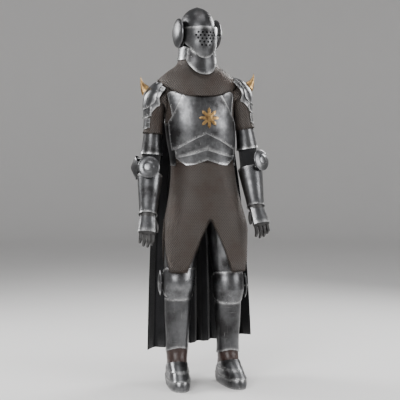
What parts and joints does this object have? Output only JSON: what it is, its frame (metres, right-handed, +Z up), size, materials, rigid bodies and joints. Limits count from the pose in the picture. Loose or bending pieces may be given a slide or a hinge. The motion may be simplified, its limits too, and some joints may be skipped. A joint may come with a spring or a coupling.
{
  "type": "suit of plate armour",
  "caption": "Full suit of plate armour over mail, hollow and upright as worn, with a visored helmet, gilt shoulder horns and a long hung cape.",
  "frame": {"origin": "between the shoulders, on the suit's upright midline, where a wearer's shoulders carry it, 1.45 m above the soles", "axes": "+Z up, the suit faces -Y, +X to the wearer's left"},
  "size_m": [0.6888, 0.4194, 1.862],
  "materials": {
    "steel": "weathered, polished and scratched",
    "dark_steel": "darkened, worn bright at the edges",
    "gilt": "aged gilding",
    "mail": "oiled brown-grey rings",
    "black_cloth": "matt woven wool",
    "black_leather": "dull worn leather",
    "boot_leather": "dark red-brown worn leather"
  },
  "bodies": {
    "suit": {"helmet_skull": "dark_steel", "helmet_bevor": "dark_steel", "helmet_neck_guard": "steel", "helmet_disc_right": "dark_steel", "helmet_disc_left": "dark_steel", "hauberk_body": "mail", "hauberk_skirt": "mail", "sleeve_right": "mail", "sleeve_left": "mail", "mail_mantle": "mail", "breastplate": "steel", "waist_lame_upper": "steel", "waist_lame_lower": "steel", "breast_gusset_right": "steel", "breast_gusset_left": "steel", "backplate": "dark_steel", "chest_rosette": "gilt", "pauldron_right": "steel", "pauldron_front_lame_right": "steel", "arm_lame_upper_right": "steel", "arm_lame_lower_right": "steel", "horn_right": "gilt", "rerebrace_right": "steel", "vambrace_right": "steel", "arming_sleeve_right": "black_cloth", "couter_right": "steel", "couter_disc_right": "steel", "glove_right": "black_leather", "hand_plate_right": "steel", "pauldron_left": "steel", "pauldron_front_lame_left": "steel", "arm_lame_upper_left": "steel", "arm_lame_lower_left": "steel", "horn_left": "gilt", "rerebrace_left": "steel", "vambrace_left": "steel", "arming_sleeve_left": "black_cloth", "couter_left": "steel", "couter_disc_left": "steel", "glove_left": "black_leather", "hand_plate_left": "steel", "hose_right": "black_cloth", "greave_right": "dark_steel", "cuisse_right": "steel", "poleyn_right": "steel", "poleyn_wing_right": "steel", "boot_right": "boot_leather", "sabaton_right": "steel", "hose_left": "black_cloth", "greave_left": "dark_steel", "cuisse_left": "steel", "poleyn_left": "steel", "poleyn_wing_left": "steel", "boot_left": "boot_leather", "sabaton_left": "steel", "cape": "black_cloth"},
    "visor": {"helmet_visor": "steel"}
  },
  "joints": [
    {"name": "visor_pivot", "type": "hinge", "parent": "suit", "child": "visor", "pos_m": [-0.008, 0, 0.281], "axis": [-0.9877, -0.1564, 0], "range_deg": [0, 65]}
  ]
}
